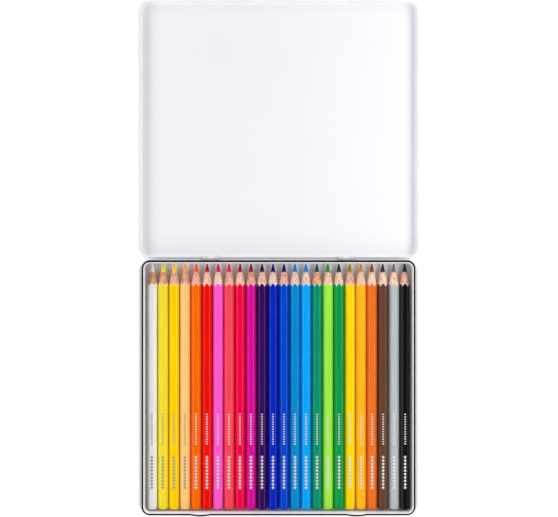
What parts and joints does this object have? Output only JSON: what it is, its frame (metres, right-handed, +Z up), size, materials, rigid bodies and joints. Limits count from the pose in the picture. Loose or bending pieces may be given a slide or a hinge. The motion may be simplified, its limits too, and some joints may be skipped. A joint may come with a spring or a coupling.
{
  "type": "colored pencil tin",
  "caption": "Flat hinged metal tin, lying open, with a row of sharpened hexagonal coloured pencils that lift out of its tray.",
  "frame": {"origin": "middle of the underside of the tray's floor", "axes": "+Z up; +Y from the tray towards the hinge and the open lid, along the pencils from blunt end to point; +X to the right, across the row"},
  "size_m": [0.2002, 0.3656, 0.013],
  "materials": {
    "tinplate_tray": "tinplate, white lacquer inside, bare on the rolled rim",
    "white_lacquered_lid": "satin white lacquer on tinplate",
    "steel_wire": "drawn wire",
    "white_paint": "gloss white paint on wood, bare wood on the sharpened cone",
    "lemon_yellow_paint": "gloss lemon yellow paint on wood, bare wood on the sharpened cone",
    "warm_yellow_paint": "gloss warm yellow paint on wood, bare wood on the sharpened cone",
    "apricot_paint": "gloss apricot paint on wood, bare wood on the sharpened cone",
    "orange_paint": "gloss orange paint on wood, bare wood on the sharpened cone",
    "scarlet_paint": "gloss scarlet paint on wood, bare wood on the sharpened cone",
    "rose_pink_paint": "gloss rose pink paint on wood, bare wood on the sharpened cone",
    "coral_paint": "gloss coral paint on wood, bare wood on the sharpened cone",
    "carmine_paint": "gloss carmine paint on wood, bare wood on the sharpened cone",
    "magenta_paint": "gloss magenta paint on wood, bare wood on the sharpened cone",
    "violet_paint": "gloss violet paint on wood, bare wood on the sharpened cone",
    "ultramarine_paint": "gloss ultramarine paint on wood, bare wood on the sharpened cone",
    "cobalt_blue_paint": "gloss cobalt blue paint on wood, bare wood on the sharpened cone",
    "cyan_blue_paint": "gloss cyan blue paint on wood, bare wood on the sharpened cone",
    "sky_blue_paint": "gloss sky blue paint on wood, bare wood on the sharpened cone",
    "sea_green_paint": "gloss sea green paint on wood, bare wood on the sharpened cone",
    "light_green_paint": "gloss light green paint on wood, bare wood on the sharpened cone",
    "leaf_green_paint": "gloss leaf green paint on wood, bare wood on the sharpened cone",
    "olive_yellow_paint": "gloss olive yellow paint on wood, bare wood on the sharpened cone",
    "golden_orange_paint": "gloss golden orange paint on wood, bare wood on the sharpened cone",
    "sienna_paint": "gloss sienna paint on wood, bare wood on the sharpened cone",
    "umber_paint": "gloss umber paint on wood, bare wood on the sharpened cone",
    "grey_paint": "gloss grey paint on wood, bare wood on the sharpened cone",
    "black_paint": "gloss black paint on wood, bare wood on the sharpened cone",
    "white_lead": "waxy white colour lead",
    "lemon_yellow_lead": "waxy lemon yellow colour lead",
    "warm_yellow_lead": "waxy warm yellow colour lead",
    "apricot_lead": "waxy apricot colour lead",
    "orange_lead": "waxy orange colour lead",
    "scarlet_lead": "waxy scarlet colour lead",
    "rose_pink_lead": "waxy rose pink colour lead",
    "coral_lead": "waxy coral colour lead",
    "carmine_lead": "waxy carmine colour lead",
    "magenta_lead": "waxy magenta colour lead",
    "violet_lead": "waxy violet colour lead",
    "ultramarine_lead": "waxy ultramarine colour lead",
    "cobalt_blue_lead": "waxy cobalt blue colour lead",
    "cyan_blue_lead": "waxy cyan blue colour lead",
    "sky_blue_lead": "waxy sky blue colour lead",
    "sea_green_lead": "waxy sea green colour lead",
    "light_green_lead": "waxy light green colour lead",
    "leaf_green_lead": "waxy leaf green colour lead",
    "olive_yellow_lead": "waxy olive yellow colour lead",
    "golden_orange_lead": "waxy golden orange colour lead",
    "sienna_lead": "waxy sienna colour lead",
    "umber_lead": "waxy umber colour lead",
    "grey_lead": "waxy grey colour lead",
    "black_lead": "waxy black colour lead"
  },
  "bodies": {
    "tray": {"base_tray": "tinplate_tray", "hinge_pin_left": "steel_wire", "hinge_pin_right": "steel_wire"},
    "lid": {"lid": "white_lacquered_lid"},
    "white_pencil": {"white_pencil_barrel": "white_paint", "white_pencil_lead": "white_lead"},
    "lemon_yellow_pencil": {"lemon_yellow_pencil_barrel": "lemon_yellow_paint", "lemon_yellow_pencil_lead": "lemon_yellow_lead"},
    "warm_yellow_pencil": {"warm_yellow_pencil_barrel": "warm_yellow_paint", "warm_yellow_pencil_lead": "warm_yellow_lead"},
    "apricot_pencil": {"apricot_pencil_barrel": "apricot_paint", "apricot_pencil_lead": "apricot_lead"},
    "orange_pencil": {"orange_pencil_barrel": "orange_paint", "orange_pencil_lead": "orange_lead"},
    "scarlet_pencil": {"scarlet_pencil_barrel": "scarlet_paint", "scarlet_pencil_lead": "scarlet_lead"},
    "rose_pink_pencil": {"rose_pink_pencil_barrel": "rose_pink_paint", "rose_pink_pencil_lead": "rose_pink_lead"},
    "coral_pencil": {"coral_pencil_barrel": "coral_paint", "coral_pencil_lead": "coral_lead"},
    "carmine_pencil": {"carmine_pencil_barrel": "carmine_paint", "carmine_pencil_lead": "carmine_lead"},
    "magenta_pencil": {"magenta_pencil_barrel": "magenta_paint", "magenta_pencil_lead": "magenta_lead"},
    "violet_pencil": {"violet_pencil_barrel": "violet_paint", "violet_pencil_lead": "violet_lead"},
    "ultramarine_pencil": {"ultramarine_pencil_barrel": "ultramarine_paint", "ultramarine_pencil_lead": "ultramarine_lead"},
    "cobalt_blue_pencil": {"cobalt_blue_pencil_barrel": "cobalt_blue_paint", "cobalt_blue_pencil_lead": "cobalt_blue_lead"},
    "cyan_blue_pencil": {"cyan_blue_pencil_barrel": "cyan_blue_paint", "cyan_blue_pencil_lead": "cyan_blue_lead"},
    "sky_blue_pencil": {"sky_blue_pencil_barrel": "sky_blue_paint", "sky_blue_pencil_lead": "sky_blue_lead"},
    "sea_green_pencil": {"sea_green_pencil_barrel": "sea_green_paint", "sea_green_pencil_lead": "sea_green_lead"},
    "light_green_pencil": {"light_green_pencil_barrel": "light_green_paint", "light_green_pencil_lead": "light_green_lead"},
    "leaf_green_pencil": {"leaf_green_pencil_barrel": "leaf_green_paint", "leaf_green_pencil_lead": "leaf_green_lead"},
    "olive_yellow_pencil": {"olive_yellow_pencil_barrel": "olive_yellow_paint", "olive_yellow_pencil_lead": "olive_yellow_lead"},
    "golden_orange_pencil": {"golden_orange_pencil_barrel": "golden_orange_paint", "golden_orange_pencil_lead": "golden_orange_lead"},
    "sienna_pencil": {"sienna_pencil_barrel": "sienna_paint", "sienna_pencil_lead": "sienna_lead"},
    "umber_pencil": {"umber_pencil_barrel": "umber_paint", "umber_pencil_lead": "umber_lead"},
    "grey_pencil": {"grey_pencil_barrel": "grey_paint", "grey_pencil_lead": "grey_lead"},
    "black_pencil": {"black_pencil_barrel": "black_paint", "black_pencil_lead": "black_lead"}
  },
  "joints": [
    {"name": "lid_hinge", "type": "hinge", "parent": "tray", "child": "lid", "pos_m": [0, 0.0915, 0.008], "axis": [-1, 0, 0], "range_deg": [-180, 0]},
    {"name": "white_pencil_lift", "type": "slide", "parent": "tray", "child": "white_pencil", "axis": [0, 0, 1], "range_m": [0, 0.03]},
    {"name": "lemon_yellow_pencil_lift", "type": "slide", "parent": "tray", "child": "lemon_yellow_pencil", "axis": [0, 0, 1], "range_m": [0, 0.03]},
    {"name": "warm_yellow_pencil_lift", "type": "slide", "parent": "tray", "child": "warm_yellow_pencil", "axis": [0, 0, 1], "range_m": [0, 0.03]},
    {"name": "apricot_pencil_lift", "type": "slide", "parent": "tray", "child": "apricot_pencil", "axis": [0, 0, 1], "range_m": [0, 0.03]},
    {"name": "orange_pencil_lift", "type": "slide", "parent": "tray", "child": "orange_pencil", "axis": [0, 0, 1], "range_m": [0, 0.03]},
    {"name": "scarlet_pencil_lift", "type": "slide", "parent": "tray", "child": "scarlet_pencil", "axis": [0, 0, 1], "range_m": [0, 0.03]},
    {"name": "rose_pink_pencil_lift", "type": "slide", "parent": "tray", "child": "rose_pink_pencil", "axis": [0, 0, 1], "range_m": [0, 0.03]},
    {"name": "coral_pencil_lift", "type": "slide", "parent": "tray", "child": "coral_pencil", "axis": [0, 0, 1], "range_m": [0, 0.03]},
    {"name": "carmine_pencil_lift", "type": "slide", "parent": "tray", "child": "carmine_pencil", "axis": [0, 0, 1], "range_m": [0, 0.03]},
    {"name": "magenta_pencil_lift", "type": "slide", "parent": "tray", "child": "magenta_pencil", "axis": [0, 0, 1], "range_m": [0, 0.03]},
    {"name": "violet_pencil_lift", "type": "slide", "parent": "tray", "child": "violet_pencil", "axis": [0, 0, 1], "range_m": [0, 0.03]},
    {"name": "ultramarine_pencil_lift", "type": "slide", "parent": "tray", "child": "ultramarine_pencil", "axis": [0, 0, 1], "range_m": [0, 0.03]},
    {"name": "cobalt_blue_pencil_lift", "type": "slide", "parent": "tray", "child": "cobalt_blue_pencil", "axis": [0, 0, 1], "range_m": [0, 0.03]},
    {"name": "cyan_blue_pencil_lift", "type": "slide", "parent": "tray", "child": "cyan_blue_pencil", "axis": [0, 0, 1], "range_m": [0, 0.03]},
    {"name": "sky_blue_pencil_lift", "type": "slide", "parent": "tray", "child": "sky_blue_pencil", "axis": [0, 0, 1], "range_m": [0, 0.03]},
    {"name": "sea_green_pencil_lift", "type": "slide", "parent": "tray", "child": "sea_green_pencil", "axis": [0, 0, 1], "range_m": [0, 0.03]},
    {"name": "light_green_pencil_lift", "type": "slide", "parent": "tray", "child": "light_green_pencil", "axis": [0, 0, 1], "range_m": [0, 0.03]},
    {"name": "leaf_green_pencil_lift", "type": "slide", "parent": "tray", "child": "leaf_green_pencil", "axis": [0, 0, 1], "range_m": [0, 0.03]},
    {"name": "olive_yellow_pencil_lift", "type": "slide", "parent": "tray", "child": "olive_yellow_pencil", "axis": [0, 0, 1], "range_m": [0, 0.03]},
    {"name": "golden_orange_pencil_lift", "type": "slide", "parent": "tray", "child": "golden_orange_pencil", "axis": [0, 0, 1], "range_m": [0, 0.03]},
    {"name": "sienna_pencil_lift", "type": "slide", "parent": "tray", "child": "sienna_pencil", "axis": [0, 0, 1], "range_m": [0, 0.03]},
    {"name": "umber_pencil_lift", "type": "slide", "parent": "tray", "child": "umber_pencil", "axis": [0, 0, 1], "range_m": [0, 0.03]},
    {"name": "grey_pencil_lift", "type": "slide", "parent": "tray", "child": "grey_pencil", "axis": [0, 0, 1], "range_m": [0, 0.03]},
    {"name": "black_pencil_lift", "type": "slide", "parent": "tray", "child": "black_pencil", "axis": [0, 0, 1], "range_m": [0, 0.03]}
  ]
}
